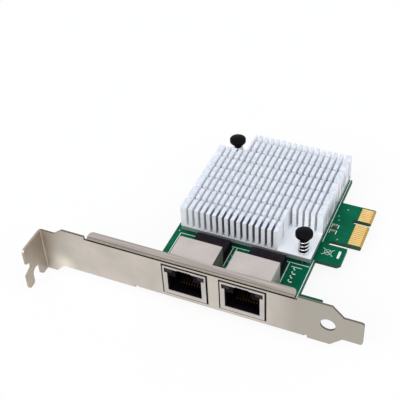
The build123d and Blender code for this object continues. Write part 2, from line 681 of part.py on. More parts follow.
def wire_channels(x):
    """Slots in the floor of the body that hold the contact wires apart."""
    cuts = []
    half = WIRE_WIDTH / 2 + WIRE_CLEARANCE
    deep = WIRE_THICK / 2 + WIRE_CLEARANCE
    floor = JACK_BOTTOM + WIRE_HEIGHT
    front = JACK_FACE + WIRE_FRONT - WIRE_BEND_ROOM
    for tail_x, tail_y in wire_tails(x):
        x0, x1 = tail_x - half, tail_x + half
        cuts.append(block(x0, x1, front, tail_y + deep, floor - deep, JACK_BOTTOM + PLUG_FLOOR + deep))
        cuts.append(block(x0, x1, tail_y - deep, tail_y + deep, JACK_BOTTOM - BEYOND, floor))
    return cuts


def gull_leads(centre, depth, count, pitch, exit_height):
    """Two rows of gull-wing leads along x, at the front and the rear of a moulded body."""
    leads = []
    foot = BOARD_TOP + GULL_THICK / 2
    height = BOARD_TOP + exit_height
    for side in (-1, 1):
        edge = centre[1] + side * depth / 2
        knee = edge + side * (GULL_REACH - GULL_FOOT)
        path = [(edge, height), (knee, height), (knee, foot), (edge + side * GULL_REACH, foot)]
        for i in range(count):
            x = centre[0] + (i - (count - 1) / 2) * pitch
            leads.append(strip(path, GULL_THICK * GULL_BEND_SHARE, x, GULL_WIDTH, GULL_THICK))
    return join(leads)


def moulded_body(centre, width, depth, low, high, draft):
    """A black moulded package, a little narrower at its top than at its leads."""
    base = Plane.XY.offset(BOARD_TOP + low) * Pos(*centre) * Rectangle(width, depth)
    top = Rectangle(width - 2 * draft, depth - 2 * draft)
    return loft([base, Plane.XY.offset(BOARD_TOP + high) * Pos(*centre) * top])


def small_package(place, size):
    return moulded_body(place, size[0], size[1], MAG_STANDOFF, size[2], 0)


def magnetics_centre(x):
    return x + MAG_SHIFT, MAG_FRONT + MAG_DEPTH / 2


def magnetics(x):
    """The lower part is upright, so that the leads meet it face to face."""
    split = MAG_TOP * MAG_UPRIGHT_SHARE
    centre = magnetics_centre(x)
    low = moulded_body(centre, MAG_WIDTH, MAG_DEPTH, MAG_STANDOFF, split, 0)
    return low + moulded_body(centre, MAG_WIDTH, MAG_DEPTH, split, MAG_TOP, MAG_DRAFT)


def magnetics_leads(x):
    return gull_leads(magnetics_centre(x), MAG_DEPTH, MAG_LEAD_COUNT, MAG_LEAD_PITCH,
                      MAG_TOP * MAG_EXIT_SHARE)


def heat_sink():
    """An extruded block with cross cuts and two corners milled down to the base."""
    top = SINK_FLOOR + FIN_HEIGHT
    sink = block(SINK_LEFT, SINK_RIGHT, SINK_FRONT, SINK_REAR, SINK_BOTTOM, top)
    cuts = []
    for i in range(FIN_GAP_COUNT):
        x = CHIP_CENTRE[0] + (i - (FIN_GAP_COUNT - 1) / 2) * FIN_PITCH
        cuts.append(block(x - FIN_GAP / 2, x + FIN_GAP / 2, SINK_FRONT - BEYOND, SINK_REAR + BEYOND,
                          SINK_FLOOR, top + BEYOND))
    for i in range(CUT_COUNT):
        y = SINK_FRONT + CUT_FIRST + i * CUT_PITCH
        cuts.append(block(SINK_LEFT - BEYOND, SINK_RIGHT + BEYOND, y - CUT_WIDTH / 2, y + CUT_WIDTH / 2,
                          SINK_FLOOR, top + BEYOND))
    cuts.append(block(SINK_RIGHT - FRONT_CORNER_WIDTH, SINK_RIGHT + BEYOND, SINK_FRONT - BEYOND,
                      SINK_FRONT + FRONT_CORNER_DEPTH, SINK_FLOOR, top + BEYOND))
    cuts.append(block(SINK_LEFT - BEYOND, SINK_LEFT + REAR_CORNER_WIDTH, SINK_REAR - REAR_CORNER_DEPTH,
                      SINK_REAR + BEYOND, SINK_FLOOR, top + BEYOND))
    cuts += [rod(place, SINK_BOTTOM - BEYOND, top, PIN_HOLE) for place in (PIN_FRONT_PLACE, PIN_REAR_PLACE)]
    return sink - cuts


def controller_chip():
    carrier = moulded_body(CHIP_CENTRE, CHIP_SIZE, CHIP_SIZE, 0, CHIP_CARRIER, 0)
    cap = moulded_body(CHIP_CENTRE, CHIP_CAP, CHIP_CAP, CHIP_CARRIER, CHIP_THICK, MAG_DRAFT)
    return carrier + cap


def thermal_pad():
    low = BOARD_TOP + CHIP_THICK
    half = CHIP_CAP / 2 - MAG_DRAFT - PAD_INSET
    x, y = CHIP_CENTRE
    return block(x - half, x + half, y - half, y + half, low, low + PAD_THICK)


def push_pin(place):
    """Mushroom head, plain shaft and a split, barbed end under the board."""
    under = SINK_FLOOR + PIN_HEAD_LOW
    rim = under + PIN_HEAD_RIM
    barb = BOARD_BOTTOM - BARB_GAP
    tip = barb - BARB_LENGTH
    outline = Polyline(
        (0, rim + PIN_HEAD_DOME), (0, tip), (BARB_TIP_RADIUS, tip), (BARB_RADIUS, barb - BARB_TIP_RADIUS),
        (BARB_RADIUS, barb), (PIN_RADIUS, barb), (PIN_RADIUS, under), (PIN_HEAD_RADIUS, under),
        (PIN_HEAD_RADIUS, rim),
    )
    dome = TangentArc((0, rim + PIN_HEAD_DOME), (PIN_HEAD_RADIUS, rim), tangent=(1, 0))
    pin = revolve(Plane.XZ * make_face(outline + dome), Axis.Z)
    slit = block(-PIN_SLIT / 2, PIN_SLIT / 2, -BEYOND, BEYOND, tip - BEYOND, BOARD_TOP + PIN_SLIT_RISE)
    return Pos(place[0], place[1], 0) * (pin - slit)


def pin_spring(place):
    """A coil from the heat sink's floor to the underside of the pin's head."""
    low = SINK_FLOOR + SPRING_SEAT + SPRING_WIRE / 2
    height = PIN_HEAD_LOW - 2 * SPRING_SEAT - SPRING_WIRE
    path = Helix(pitch=height / SPRING_TURNS, height=height, radius=SPRING_RADIUS)
    section = Plane(origin=path @ 0, z_dir=path % 0) * Circle(SPRING_WIRE / 2)
    return Pos(place[0], place[1], low) * sweep(section, path=path, is_frenet=True)


def small_part(place, size):
    x, y = place
    wide, deep, tall = size
    return block(x - wide / 2, x + wide / 2, y - deep / 2, y + deep / 2, BOARD_TOP, BOARD_TOP + tall)


def decoupling_capacitors():
    """Rows of small capacitors round the chip."""
    x, y = CHIP_CENTRE
    out = CHIP_SIZE / 2 + DECOUPLING_OFFSET
    parts = []
    for i in range(DECOUPLING_COUNT):
        along = (i - (DECOUPLING_COUNT - 1) / 2) * DECOUPLING_PITCH
        parts += [small_part((x + along, y + side * out), CHIP_CAP_SIZE) for side in (-1, 1)]
        turned = (CHIP_CAP_SIZE[1], CHIP_CAP_SIZE[0], CHIP_CAP_SIZE[2])
        parts += [small_part((x + side * out, y + along), turned) for side in (-1, 1)]
    return join(parts)


def chip_resistors():
    x = CHIP_CENTRE[0] + RESISTOR_ROW_OFFSET[0]
    y = CHIP_CENTRE[1] + RESISTOR_ROW_OFFSET[1]
    return join(small_part((x + i * RESISTOR_ROW_PITCH, y), CHIP_RESISTOR_SIZE)
                for i in range(RESISTOR_COUNT))


def power_inductor():
    core = small_part(INDUCTOR_PLACE, (INDUCTOR_SIZE, INDUCTOR_SIZE, INDUCTOR_HEIGHT))
    return chamfer(core.edges().filter_by(Axis.Z), INDUCTOR_SIZE * CORNER_SHARE)


def crystal():
    can = small_part(CRYSTAL_PLACE, CRYSTAL_SIZE)
    return fillet(can.edges().filter_by(Axis.Z), CRYSTAL_SIZE[0] * CORNER_SHARE)


def all_pieces():
    pieces = {
        "pcb": board(),
        "bracket": bracket(),
        "bracket_screw_left": bracket_screw(SCREW_PLACES[0]),
        "bracket_screw_right": bracket_screw(SCREW_PLACES[1]),
        "edge_contacts_top": edge_contacts(BOARD_TOP),
        "edge_contacts_bottom": edge_contacts(BOARD_BOTTOM - FINGER_THICK),
        "heat_sink": heat_sink(),
        "controller_chip": controller_chip(),
        "thermal_pad": thermal_pad(),
        "push_pin_front": push_pin(PIN_FRONT_PLACE),
        "push_pin_rear": push_pin(PIN_REAR_PLACE),
        "pin_spring_front": pin_spring(PIN_FRONT_PLACE),
        "pin_spring_rear": pin_spring(PIN_REAR_PLACE),
        "coupling_capacitors": join(small_part(place, CHIP_CAP_SIZE) for place in COUPLING_PLACES),
        "decoupling_capacitors": decoupling_capacitors(),
        "chip_resistors": chip_resistors(),
        "flash_memory": small_package(FLASH_PLACE, FLASH_SIZE),
        "flash_leads": gull_leads(FLASH_PLACE, FLASH_SIZE[1], FLASH_LEAD_COUNT, SO_PITCH, FLASH_SIZE[2] / 2),
        "voltage_regulator": small_package(REGULATOR_PLACE, REGULATOR_SIZE),
        "regulator_leads": gull_leads(REGULATOR_PLACE, REGULATOR_SIZE[1], REGULATOR_LEAD_COUNT,
                                      REGULATOR_PITCH, REGULATOR_SIZE[2] / 2),
        "power_inductor": power_inductor(),
        "crystal": crystal(),
        "bulk_capacitors": join(small_part(place, BULK_SIZE) for place in BULK_PLACES),
    }
    for number, x in enumerate(JACK_CENTRES, start=1):
        pieces[f"jack_shield_{number}"] = jack_shield(x)
        pieces[f"jack_housing_{number}"] = jack_housing(x)
        pieces[f"jack_contacts_{number}"] = jack_contacts(x)
        pieces[f"jack_led_left_{number}"] = led_lamp(x, -1)
        pieces[f"jack_led_right_{number}"] = led_lamp(x, 1)
        pieces[f"jack_led_leads_{number}"] = led_leads(x)
        pieces[f"magnetics_{number}"] = magnetics(x)
        pieces[f"magnetics_leads_{number}"] = magnetics_leads(x)
    return pieces


os.makedirs("parts", exist_ok=True)
to_datum = Pos(-DATUM[0], -DATUM[1], -DATUM[2])
for name, piece in all_pieces().items():
    export_step(to_datum * piece, f"parts/{name}.step")
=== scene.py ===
"""Looks for a dual-port network interface card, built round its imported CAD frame."""
import math
import random

import bmesh
import bpy
from mathutils import Matrix, Vector


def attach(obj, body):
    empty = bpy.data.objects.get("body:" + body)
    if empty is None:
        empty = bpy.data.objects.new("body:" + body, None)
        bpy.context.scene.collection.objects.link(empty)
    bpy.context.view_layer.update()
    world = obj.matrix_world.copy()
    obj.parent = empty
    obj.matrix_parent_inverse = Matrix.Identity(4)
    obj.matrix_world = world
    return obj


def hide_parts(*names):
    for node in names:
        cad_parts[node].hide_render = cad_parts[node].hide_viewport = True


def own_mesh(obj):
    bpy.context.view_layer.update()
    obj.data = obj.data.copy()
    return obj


# Places are in millimetres along the bracket (x), to the rear of the card (y) and up from the lower
# edge of the bracket's face (z). at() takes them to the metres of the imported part's frame.
MM = 0.001
DATUM = (106.9, 57.15, 1.395)
FAR = 1.0
CARD = "card"
SEED = 11

BOARD_TOP = 2.18
BOARD_BOTTOM = 0.61
JACK_CENTRES = (57.2, 78.35)
WIRE_PITCH = 1.02
APERTURE_WIDTH = 16.54
APERTURE_LOW = 2.33
APERTURE_HIGH = 16.02
MODULE_LEADS_Y = 22.4
SCREW_PLACES = ((43.4, 6.2), (95.4, 6.2))
PINS = {"front": (89.35, 31.56), "rear": (48.3, 72.4)}
SINK_FRONT = 28.83
SINK_RIGHT = 92.95
FLOOR_LEVEL = -3.42
PRINT_THICK = 0.02
PRINT_LINE = 0.3
FINE_LINE = 0.2
TRACK_WIDTH = 0.16

# Small parts on the board: length, width and height
CHIP = (1.6, 0.8, 0.8)
RESISTOR = (1.6, 0.8, 0.45)
BULK = (3.5, 2.8, 1.9)
CHIP_CENTRE = (67.9, 53.45)
CHIP_BODY = 17.0
COUPLING_PLACES = ((94.9, 49.3, True), (94.9, 52.4, True))
BULK_PLACES = ((89.5, 50.0, True), (89.5, 54.6, True))

# Where the materials change their colour, most of them places where shade or a highlight is painted
TAB_TINT_END = 4.5
TAB_BEND_SHADE = (-0.6, 1.8)
NECK_HIGHLIGHT = (6.0, 12.0)
NECK_HIGHLIGHT_TOP = 4.5
TONGUE_TINT_START = 92.0
BEND_START = 16.9
SHEET_MIDDLE = (0.08, 0.8)
APERTURE_RIM = 0.34
SHIELD_SHADE = (0.05, 1.5)
TIPS_START = 12.0
FIRST_ROW_DEPTH = 4.5
GAP_SHADE_START = 52.0
GAP_SHADE_END = 79.8
SIDE_SHADE_TOP = 12.5
SINK_BASE_TOP = 6.3
BARE_START = 101.75
BARE_SIDES = (45.1, 65.3)
KEY_NOTCH = (56.1, 58.2)

SHADE = (34, 29, 27)
ROUGH_SPREAD = 0.12
METALS = (
    ("gold", (240, 200, 128), (252, 224, 160), 0.34),
    # The jacks' contact wires: gold painted almost black, as shade inside the jacks.
    ("wire_gold_painted_shade", (34, 22, 14), (48, 34, 22), 0.45),
    ("tinned", (186, 188, 190), (208, 210, 212), 0.28),
    ("screw_steel", (176, 176, 178), (202, 202, 204), 0.25),
    ("spring_steel", (206, 208, 214), (228, 230, 236), 0.16),
    ("solder", (196, 198, 202), (222, 224, 228), 0.2),
    ("can_metal", (190, 190, 188), (214, 214, 212), 0.25),
)
PLAIN_PLASTICS = (
    ("pad_grey", (136, 140, 150), (156, 160, 170), 0.7),
    ("capacitor_tan", (158, 122, 86), (178, 142, 104), 0.45),
    ("resistor_black", (24, 24, 28), (38, 38, 42), 0.4),
    ("ferrite", (66, 66, 70), (84, 84, 88), 0.6),
    ("tantalum", (170, 132, 40), (190, 150, 56), 0.45),
)

CAMERA_PLACE = (157.5, -191.88, 243.04)
CAMERA_RIGHT = (0.91741, 0.39518, -0.04683)
CAMERA_DOWN = (0.23368, -0.63021, -0.74042)
CAMERA_FORWARD = (-0.32212, 0.66833, -0.67051)
FOCAL_PIXELS = 926.48
PHOTO_PIXELS = 400
SENSOR_WIDTH = 36.0

# Lamps: direction towards the lamp, strength and angle across it in degrees
LAMPS = {"key": ((-0.25, -0.8, 0.7), 1.4, 40), "fill": ((0.6, -0.25, 0.75), 0.7, 50)}
WHITE = (1.0, 1.0, 1.0, 1.0)
SKY_COLOUR = (0.94, 0.97, 1.0, 1.0)
SKY_STRENGTH = 0.62
FLOOR_COLOUR = (0.93, 0.93, 0.93, 1.0)
FLOOR_GLOW = 0.88
FLOOR_HALF = 3.0


def at(x, y, z):
    """A point of the part, in metres of its frame."""
    return Vector((x - DATUM[0], y - DATUM[1], z - DATUM[2])) * MM


# Materials

def linear(value):
    value /= 255
    return value / 12.92 if value <= 0.04045 else ((value + 0.055) / 1.055) ** 2.4


def colour(rgb):
    return tuple(linear(v) for v in rgb) + (1.0,)


class Nodes:
    """A material's node tree, with short calls for the nodes used here."""

    def __init__(self, name):
        self.material = bpy.data.materials.new(name)
        self.material.use_nodes = True
        self.tree = self.material.node_tree
        self.shader = self.tree.nodes["Principled BSDF"]

    def add(self, kind, **settings):
        node = self.tree.nodes.new(kind)
        for key, value in settings.items():
            setattr(node, key, value)
        return node

    def link(self, source, target):
        self.tree.links.new(source, target)

    def coordinates(self):
        return self.add("ShaderNodeTexCoord").outputs["Object"]

    def zone(self, axis, low, high, soft):
        """1 between two places along an axis, with soft ends. None leaves an end open."""
        index = "xyz".index(axis)
        low = -FAR if low is None else (low - DATUM[index]) * MM
        high = FAR if high is None else (high - DATUM[index]) * MM
        return self.band(self.place()[index], low, high, soft * MM)

    def facing(self, axis, low, high, soft):
        """1 where the surface's direction along an axis lies between two values."""
        return self.band(self.normal()["xyz".index(axis)], low, high, soft)

    def normal(self):
        """The surface's own direction, split into x, y and z."""
        split = self.add("ShaderNodeSeparateXYZ")
        self.link(self.add("ShaderNodeNewGeometry").outputs["Normal"], split.inputs[0])
        return split.outputs

    def place(self):
        split = self.add("ShaderNodeSeparateXYZ")
        self.link(self.coordinates(), split.inputs[0])
        return split.outputs

    def math(self, operation, a, b):
        node = self.add("ShaderNodeMath", operation=operation)
        for socket, value in zip(node.inputs, (a, b)):
            if isinstance(value, (int, float)):
                socket.default_value = value
            else:
                self.link(value, socket)
        return node.outputs[0]

    def times(self, first, *others):
        for other in others:
            first = self.math("MULTIPLY", first, other)
        return first

    def noise(self, scale, detail=3.0, stretch=(1, 1, 1), roughness=0.55):
        mapping = self.add("ShaderNodeMapping")
        mapping.inputs["Scale"].default_value = stretch
        self.link(self.coordinates(), mapping.inputs[0])
        node = self.add("ShaderNodeTexNoise")
        node.inputs["Scale"].default_value = scale
        node.inputs["Detail"].default_value = detail
        node.inputs["Roughness"].default_value = roughness
        self.link(mapping.outputs[0], node.inputs["Vector"])
        return node.outputs["Fac"]

    def ramp(self, value, stops):
        """A colour or grey ramp. Stops are (position, colour) with colours as 0-255 or as one number."""
        node = self.add("ShaderNodeValToRGB")
        elements = node.color_ramp.elements
        while len(elements) < len(stops):
            elements.new(0.5)
        for element, (position, tint) in zip(elements, stops):
            element.position = position
            element.color = (tint, tint, tint, 1.0) if isinstance(tint, (int, float)) else colour(tint)
        self.link(value, node.inputs[0])
        return node.outputs[0]

    def mix(self, factor, a, b):
        node = self.add("ShaderNodeMix", data_type="RGBA")
        self.link(factor, node.inputs[0])
        for socket, value in ((node.inputs[6], a), (node.inputs[7], b)):
            if isinstance(value, tuple):
                socket.default_value = colour(value)
            else:
                self.link(value, socket)
        return node.outputs[2]

    def band(self, value, low, high, soft):
        """1 where value lies between low and high, with soft ends."""
        steps = []
        for middle, before, after in ((low, 0.0, 1.0), (high, 1.0, 0.0)):
            node = self.add("ShaderNodeMapRange", interpolation_type="SMOOTHSTEP")
            node.inputs["From Min"].default_value = middle - soft
            node.inputs["From Max"].default_value = middle + soft
            node.inputs["To Min"].default_value = before
            node.inputs["To Max"].default_value = after
            self.link(value, node.inputs["Value"])
            steps.append(node.outputs[0])
        return self.times(*steps)

    def bump(self, height, distance, strength=0.5):
        node = self.add("ShaderNodeBump")
        node.inputs["Distance"].default_value = distance
        node.inputs["Strength"].default_value = strength
        self.link(height, node.inputs["Height"])
        self.link(node.outputs[0], self.shader.inputs["Normal"])

    def finish(self, base, rough, metallic=0.0, **sockets):
        self.link(base, self.shader.inputs["Base Color"])
        low, high, source = rough
        self.link(self.ramp(source, ((0.3, low), (0.7, high))), self.shader.inputs["Roughness"])
        self.shader.inputs["Metallic"].default_value = metallic
        for key, value in sockets.items():
            self.shader.inputs[key.replace("_", " ")].default_value = value
        return self.material


def bracket_steel():
    """Satin nickel plating, brown at the tab, with painted reflection streaked over its upward faces, painted
    shade in its bends, on its cut edges and round its openings, and a painted highlight by the neck.
    """
    n = Nodes("bracket_steel")
    cloud = n.noise(70, 4)
    base = n.ramp(cloud, ((0.3, (188, 182, 171)), (0.5, (202, 194, 184)), (0.7, (212, 203, 195))))
    # Painted reflection: dark streaky bands on the faces that look up.
    top_reflection_stripes = n.ramp(n.noise(260, 3, (0.12, 5, 1)), ((0.35, (150, 142, 138)), (0.65, (190, 180, 176))))
    base = n.mix(n.facing("z", 0.8, 1.2, 0.1), base, top_reflection_stripes)
    blotches = n.ramp(n.noise(90, 2), ((0.3, 0.3), (0.7, 0.75)))
    base = n.mix(n.times(n.zone("x", None, TAB_TINT_END, 3), blotches), base, (178, 168, 146))
    base = n.mix(n.zone("x", TONGUE_TINT_START, None, 6), base, (174, 168, 158))
    base = top_bend_shade(n, base)
    # Painted shade where the tab bends away from the face.
    base = n.mix(n.times(n.zone("x", *TAB_BEND_SHADE, 1.5), 0.35), base, (146, 130, 124))
    # A painted highlight low on the neck.
    neck = n.times(n.zone("x", *NECK_HIGHLIGHT, 3), n.zone("z", None, NECK_HIGHLIGHT_TOP, 3), 0.8)
    base = n.mix(neck, base, (240, 232, 216))
    # Painted shade on the sheet's cut edges.
    cut = n.times(n.zone("y", *SHEET_MIDDLE, 0.04), n.facing("y", -0.3, 0.3, 0.1), 0.85)
    base = n.mix(cut, base, (92, 86, 80))
    base = n.mix(jack_surround(n), base, SHADE)
    n.bump(n.noise(2600, 2), 0.00002, 0.25)
    return n.finish(base, (0.4, 0.52, cloud), 0.85)


def top_bend_shade(n, base):
    """Paints shade into the top flange's bend over a colour: a dark line at the crease, and a duller band
    above it that tames the lamp's highlight.
    """
    ny, nz = n.normal()[1:]
    lean = n.math("ARCTAN2", nz, n.math("MULTIPLY", ny, -1.0))
    high = n.zone("z", BEND_START, None, 0.1)
    # Painted shade: the duller band over the bend's highlight, then the dark line at the crease.
    base = n.mix(n.times(high, n.band(lean, 0.5, 1.25, 0.15)), base, (112, 105, 98))
    return n.mix(n.times(high, n.band(lean, 0.08, 0.5, 0.06)), base, (30, 24, 20))


def jack_surround(n):
    """1 on the rim of each jack's aperture and on its cut edges, which lie in deep shade."""
    reach = APERTURE_WIDTH / 2 + APERTURE_RIM
    columns = [n.zone("x", centre - reach, centre + reach, 0.04) for centre in JACK_CENTRES]
    row = n.zone("z", APERTURE_LOW - APERTURE_RIM, APERTURE_HIGH + APERTURE_RIM, 0.04)
    return n.times(n.math("ADD", *columns), row)


def shield_steel():
    """Tinned steel, with painted shade where the shields pass through the bracket."""
    n = Nodes("shield_steel")
    cloud = n.noise(120, 3)
    base = n.ramp(cloud, ((0.3, (188, 181, 177)), (0.7, (204, 196, 192))))
    shade = n.times(n.zone("y", *SHIELD_SHADE, 0.05), n.facing("y", -0.5, 0.5, 0.1))
    base = n.mix(shade, base, SHADE)
    n.bump(n.noise(1800, 2, (1, 6, 1)), 0.00002, 0.2)
    return n.finish(base, (0.3, 0.42, cloud), 0.85)


def aluminium():
    """Pale clear-anodised aluminium, with painted shade on the fins' upper faces, in the front row's gaps,
    streaked over its right side and grey on its base's sides.
    """
    n = Nodes("aluminium")
    base = n.ramp(n.noise(60, 3), ((0.3, (240, 243, 249)), (0.7, (250, 251, 254))))
    # Painted shade: the upward faces high on the fins are darker.
    fin_top_shade = n.times(n.facing("z", 0.7, 1.3, 0.05), n.zone("z", TIPS_START, None, 0.5))
    base = n.mix(fin_top_shade, base, n.ramp(n.noise(500, 3), ((0.35, (210, 217, 231)), (0.65, (234, 239, 250)))))
    right = n.facing("x", 0.5, 1.5, 0.05)
    # Painted shade in the gaps of the front row of fins, on the fins' right faces.
    front = n.times(n.zone("y", None, SINK_FRONT + FIRST_ROW_DEPTH, 0.4), right)
    front = n.times(front, n.zone("x", GAP_SHADE_START, None, 8), n.zone("x", None, GAP_SHADE_END, 0.2), 0.9)
    base = n.mix(front, base, (84, 86, 98))
    # Painted shade in streaky patches over the heat sink's right side.
    right_side_shade = n.ramp(n.noise(420, 3, (1, 1, 0.25)), ((0.35, (134, 140, 146)), (0.62, (236, 240, 246))))
    side = n.times(n.zone("x", SINK_RIGHT - 0.5, None, 0.2), right, n.zone("z", None, SIDE_SHADE_TOP, 3), 0.85)
    base = n.mix(side, base, right_side_shade)
    # Painted shade on the upright faces of the base.
    low = n.times(n.facing("z", -0.5, 0.5, 0.05), n.zone("z", None, SINK_BASE_TOP, 0.1), 0.9)
    base = n.mix(low, base, (110, 122, 124))
    n.bump(n.noise(900, 2, (1, 12, 1)), 0.00002, 0.3)
    return n.finish(base, (0.34, 0.46, n.noise(300, 2, (1, 8, 1))), 0.08)


def solder_mask():
    """Green mask over woven glass: darker on the board's edges and yellowish between the fingers."""
    n = Nodes("solder_mask")
    cloud = n.noise(90, 3)
    base = n.ramp(cloud, ((0.3, (0, 92, 64)), (0.7, (4, 106, 75))))
    weave = n.ramp(n.noise(2500, 2, (1, 1, 4)), ((0.3, (24, 62, 48)), (0.7, (62, 96, 78))))
    base = n.mix(n.facing("z", -0.5, 0.5, 0.05), base, weave)
    bare = n.times(n.zone("x", BARE_START, None, 0.03), n.zone("y", *BARE_SIDES, 0.05))
    bare = n.times(bare, n.math("SUBTRACT", 1.0, n.zone("y", *KEY_NOTCH, 0.03)))
    base = n.mix(bare, base, n.ramp(n.noise(2500, 2), ((0.3, (176, 138, 70)), (0.7, (200, 162, 92)))))
    n.bump(n.noise(1500, 2), 0.00001, 0.3)
    return n.finish(base, (0.35, 0.45, cloud), 0.0, Specular_IOR_Level=0.05)


def track_mask():
    """The same mask where copper lies under it."""
    n = Nodes("track_mask")
    base = n.ramp(n.noise(200, 2), ((0.3, (6, 114, 82)), (0.7, (12, 128, 92))))
    return n.finish(base, (0.35, 0.45, n.noise(400, 2)), 0.0, Specular_IOR_Level=0.1)


def print_ink():
    n = Nodes("print_ink")
    base = n.ramp(n.noise(700, 2), ((0.35, (226, 242, 234)), (0.65, (244, 250, 247))))
    return n.finish(base, (0.5, 0.65, n.noise(900, 2)))


def metal(name, dark, light, rough):
    n = Nodes(name)
    cloud = n.noise(400, 3)
    n.bump(n.noise(2400, 2), 0.00001, 0.25)
    return n.finish(n.ramp(cloud, ((0.3, dark), (0.7, light))), (rough, rough + ROUGH_SPREAD, cloud), 1.0)


def plastic(name, dark, light, rough, sides=None, **sockets):
    """Moulded plastic with a fine grain. Upright sides can take a colour of their own, which paints shade on
    them.
    """
    n = Nodes(name)
    cloud = n.noise(500, 3)
    base = n.ramp(cloud, ((0.3, dark), (0.7, light)))
    if sides:
        base = n.mix(n.facing("z", -0.6, 0.6, 0.1), base, sides)
    n.bump(n.noise(4500, 2), 0.00002, 0.35)
    return n.finish(base, (rough, rough + ROUGH_SPREAD, cloud), 0.0, **sockets)


def make_materials():
    made = {
        "bracket_steel": bracket_steel(),
        "shield_steel": shield_steel(),
        "aluminium": aluminium(),
        "solder_mask": solder_mask(),
        "track_mask": track_mask(),
        "print_ink": print_ink(),
        # Painted shade: the packages' upright sides are darker than their tops.
        "package_black": plastic("package_black", (28, 23, 30), (40, 34, 42), 0.45, sides=(12, 9, 12),
                                 Specular_IOR_Level=0.05),
        "housing_black": plastic("housing_black", (8, 4, 8), (14, 9, 14), 0.5, Specular_IOR_Level=0.05),
        "pin_black": plastic("pin_black", (5, 3, 7), (12, 9, 14), 0.4, Specular_IOR_Level=0.06),
        "lamp_smoke": plastic("lamp_smoke", (30, 19, 20), (50, 34, 34), 0.25, Specular_IOR_Level=0.15),
    }
    for name, dark, light, rough in METALS:
        made[name] = metal(name, dark, light, rough)
    for name, dark, light, rough in PLAIN_PLASTICS:
        made[name] = plastic(name, dark, light, rough)
    return made


# Mesh helpers

def new_piece(name, mesh_data, materials):
    piece = bpy.data.objects.new(name, mesh_data)
    bpy.context.scene.collection.objects.link(piece)
    for material in materials:
        mesh_data.materials.append(material)
    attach(piece, CARD)
    return piece


def mesh_of(name, bm, smooth=False):
    bmesh.ops.recalc_face_normals(bm, faces=bm.faces[:])
    mesh_data = bpy.data.meshes.new(name)
    bm.to_mesh(mesh_data)
    bm.free()
    if smooth:
        mesh_data.polygons.foreach_set("use_smooth", [True] * len(mesh_data.polygons))
    return mesh_data


def add_plate(bm, outline, z0, z1):
    """A flat plate of a given (x, y) outline between two heights."""
    rings = [[bm.verts.new(at(x, y, z)) for x, y in outline] for z in (z0, z1)]
    bm.faces.new(rings[0][::-1])
    bm.faces.new(rings[1])
    count = len(outline)
    for i in range(count):
        j = (i + 1) % count
        bm.faces.new((rings[0][i], rings[0][j], rings[1][j], rings[1][i]))


def stroke(a, b, width):
    """The outline of a straight stroke between two points."""
    a, b = Vector(a), Vector(b)
    run = (b - a).normalized() * width / 2
    side = Vector((-run.y, run.x))
    return [tuple(corner) for corner in (a - run - side, b + run - side, b + run + side, a - run + side)]


def path_strokes(points, width):
    return [stroke(a, b, width) for a, b in zip(points, points[1:])]


def disc(centre, radius, count=20):
    angles = [math.tau * i / count for i in range(count)]
    return [(centre[0] + radius * math.cos(angle), centre[1] + radius * math.sin(angle)) for angle in angles]


def rectangle(x0, x1, y0, y1):
    return [(x0, y0), (x1, y0), (x1, y1), (x0, y1)]


def plates(name, outlines, z0, z1, material):
    bm = bmesh.new()
    for outline in outlines:
        add_plate(bm, outline, z0, z1)
    return new_piece(name, mesh_of(name, bm), [material])


def add_ring(bm, centre, inner, outer, z0, z1, count=20):
    """A flat washer round a hole."""
    rings = []
    for radius, z in ((inner, z0), (outer, z0), (outer, z1), (inner, z1)):
        rings.append([bm.verts.new(at(x, y, z)) for x, y in disc(centre, radius, count)])
    for k in range(4):
        a, b = rings[k], rings[(k + 1) % 4]
        for i in range(count):
            j = (i + 1) % count
            bm.faces.new((a[i], a[j], b[j], b[i]))


def add_box(bm, low, high, bevel, index):
    """A box with softened edges."""
    own = bmesh.new()
    middle = [(a + b) / 2 for a, b in zip(low, high)]
    size = [b - a for a, b in zip(low, high)]
    place = Matrix.Translation(at(*middle)) @ Matrix.Diagonal([s * MM for s in size] + [1])
    bmesh.ops.create_cube(own, size=1.0, matrix=place)
    bmesh.ops.bevel(own, geom=own.edges[:], offset=bevel * MM, segments=2, profile=0.5, affect="EDGES")
    verts = {v: bm.verts.new(v.co) for v in own.verts}
    for face in own.faces:
        bm.faces.new([verts[v] for v in face.verts]).material_index = index
    own.free()


# Detailed pieces

def decoupling_places():
    """Centres of the small capacitors round the chip, and whether each lies along x."""
    from_body, pitch, count = 2.2, 3.2, 4
    out = CHIP_BODY / 2 + from_body
    places = []
    for i in range(count):
        along = (i - (count - 1) / 2) * pitch
        for side in (-1, 1):
            places.append((CHIP_CENTRE[0] + along, CHIP_CENTRE[1] + side * out, True))
            places.append((CHIP_CENTRE[0] + side * out, CHIP_CENTRE[1] + along, False))
    return places


def chip_parts(node, places, size, body, cap, share):
    """Small surface-mounted parts: a body between two metal end caps, each a share of the length."""
    bm = bmesh.new()
    skin, body_start, body_bevel, cap_bevel = 0.03, 0.6, 0.02, 0.06
    for x, y, lengthwise in places:
        long, wide = (size[0], size[1]) if lengthwise else (size[1], size[0])
        low = (x - long / 2, y - wide / 2, BOARD_TOP)
        high = (x + long / 2, y + wide / 2, BOARD_TOP + size[2])
        axis = 0 if lengthwise else 1
        ends = size[0] * share
        inset = [body_start * ends if k == axis else skin for k in range(3)]
        add_box(bm, [v + i for v, i in zip(low, inset)], [v - i for v, i in zip(high, inset)], body_bevel, 0)
        for side in (0, 1):
            a, b = list(low), list(high)
            if side == 0:
                b[axis] = low[axis] + ends
            else:
                a[axis] = high[axis] - ends
            add_box(bm, a, b, cap_bevel, 1)
    piece = new_piece(f"{node}_detailed", mesh_of(node, bm), [body, cap])
    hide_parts(node)


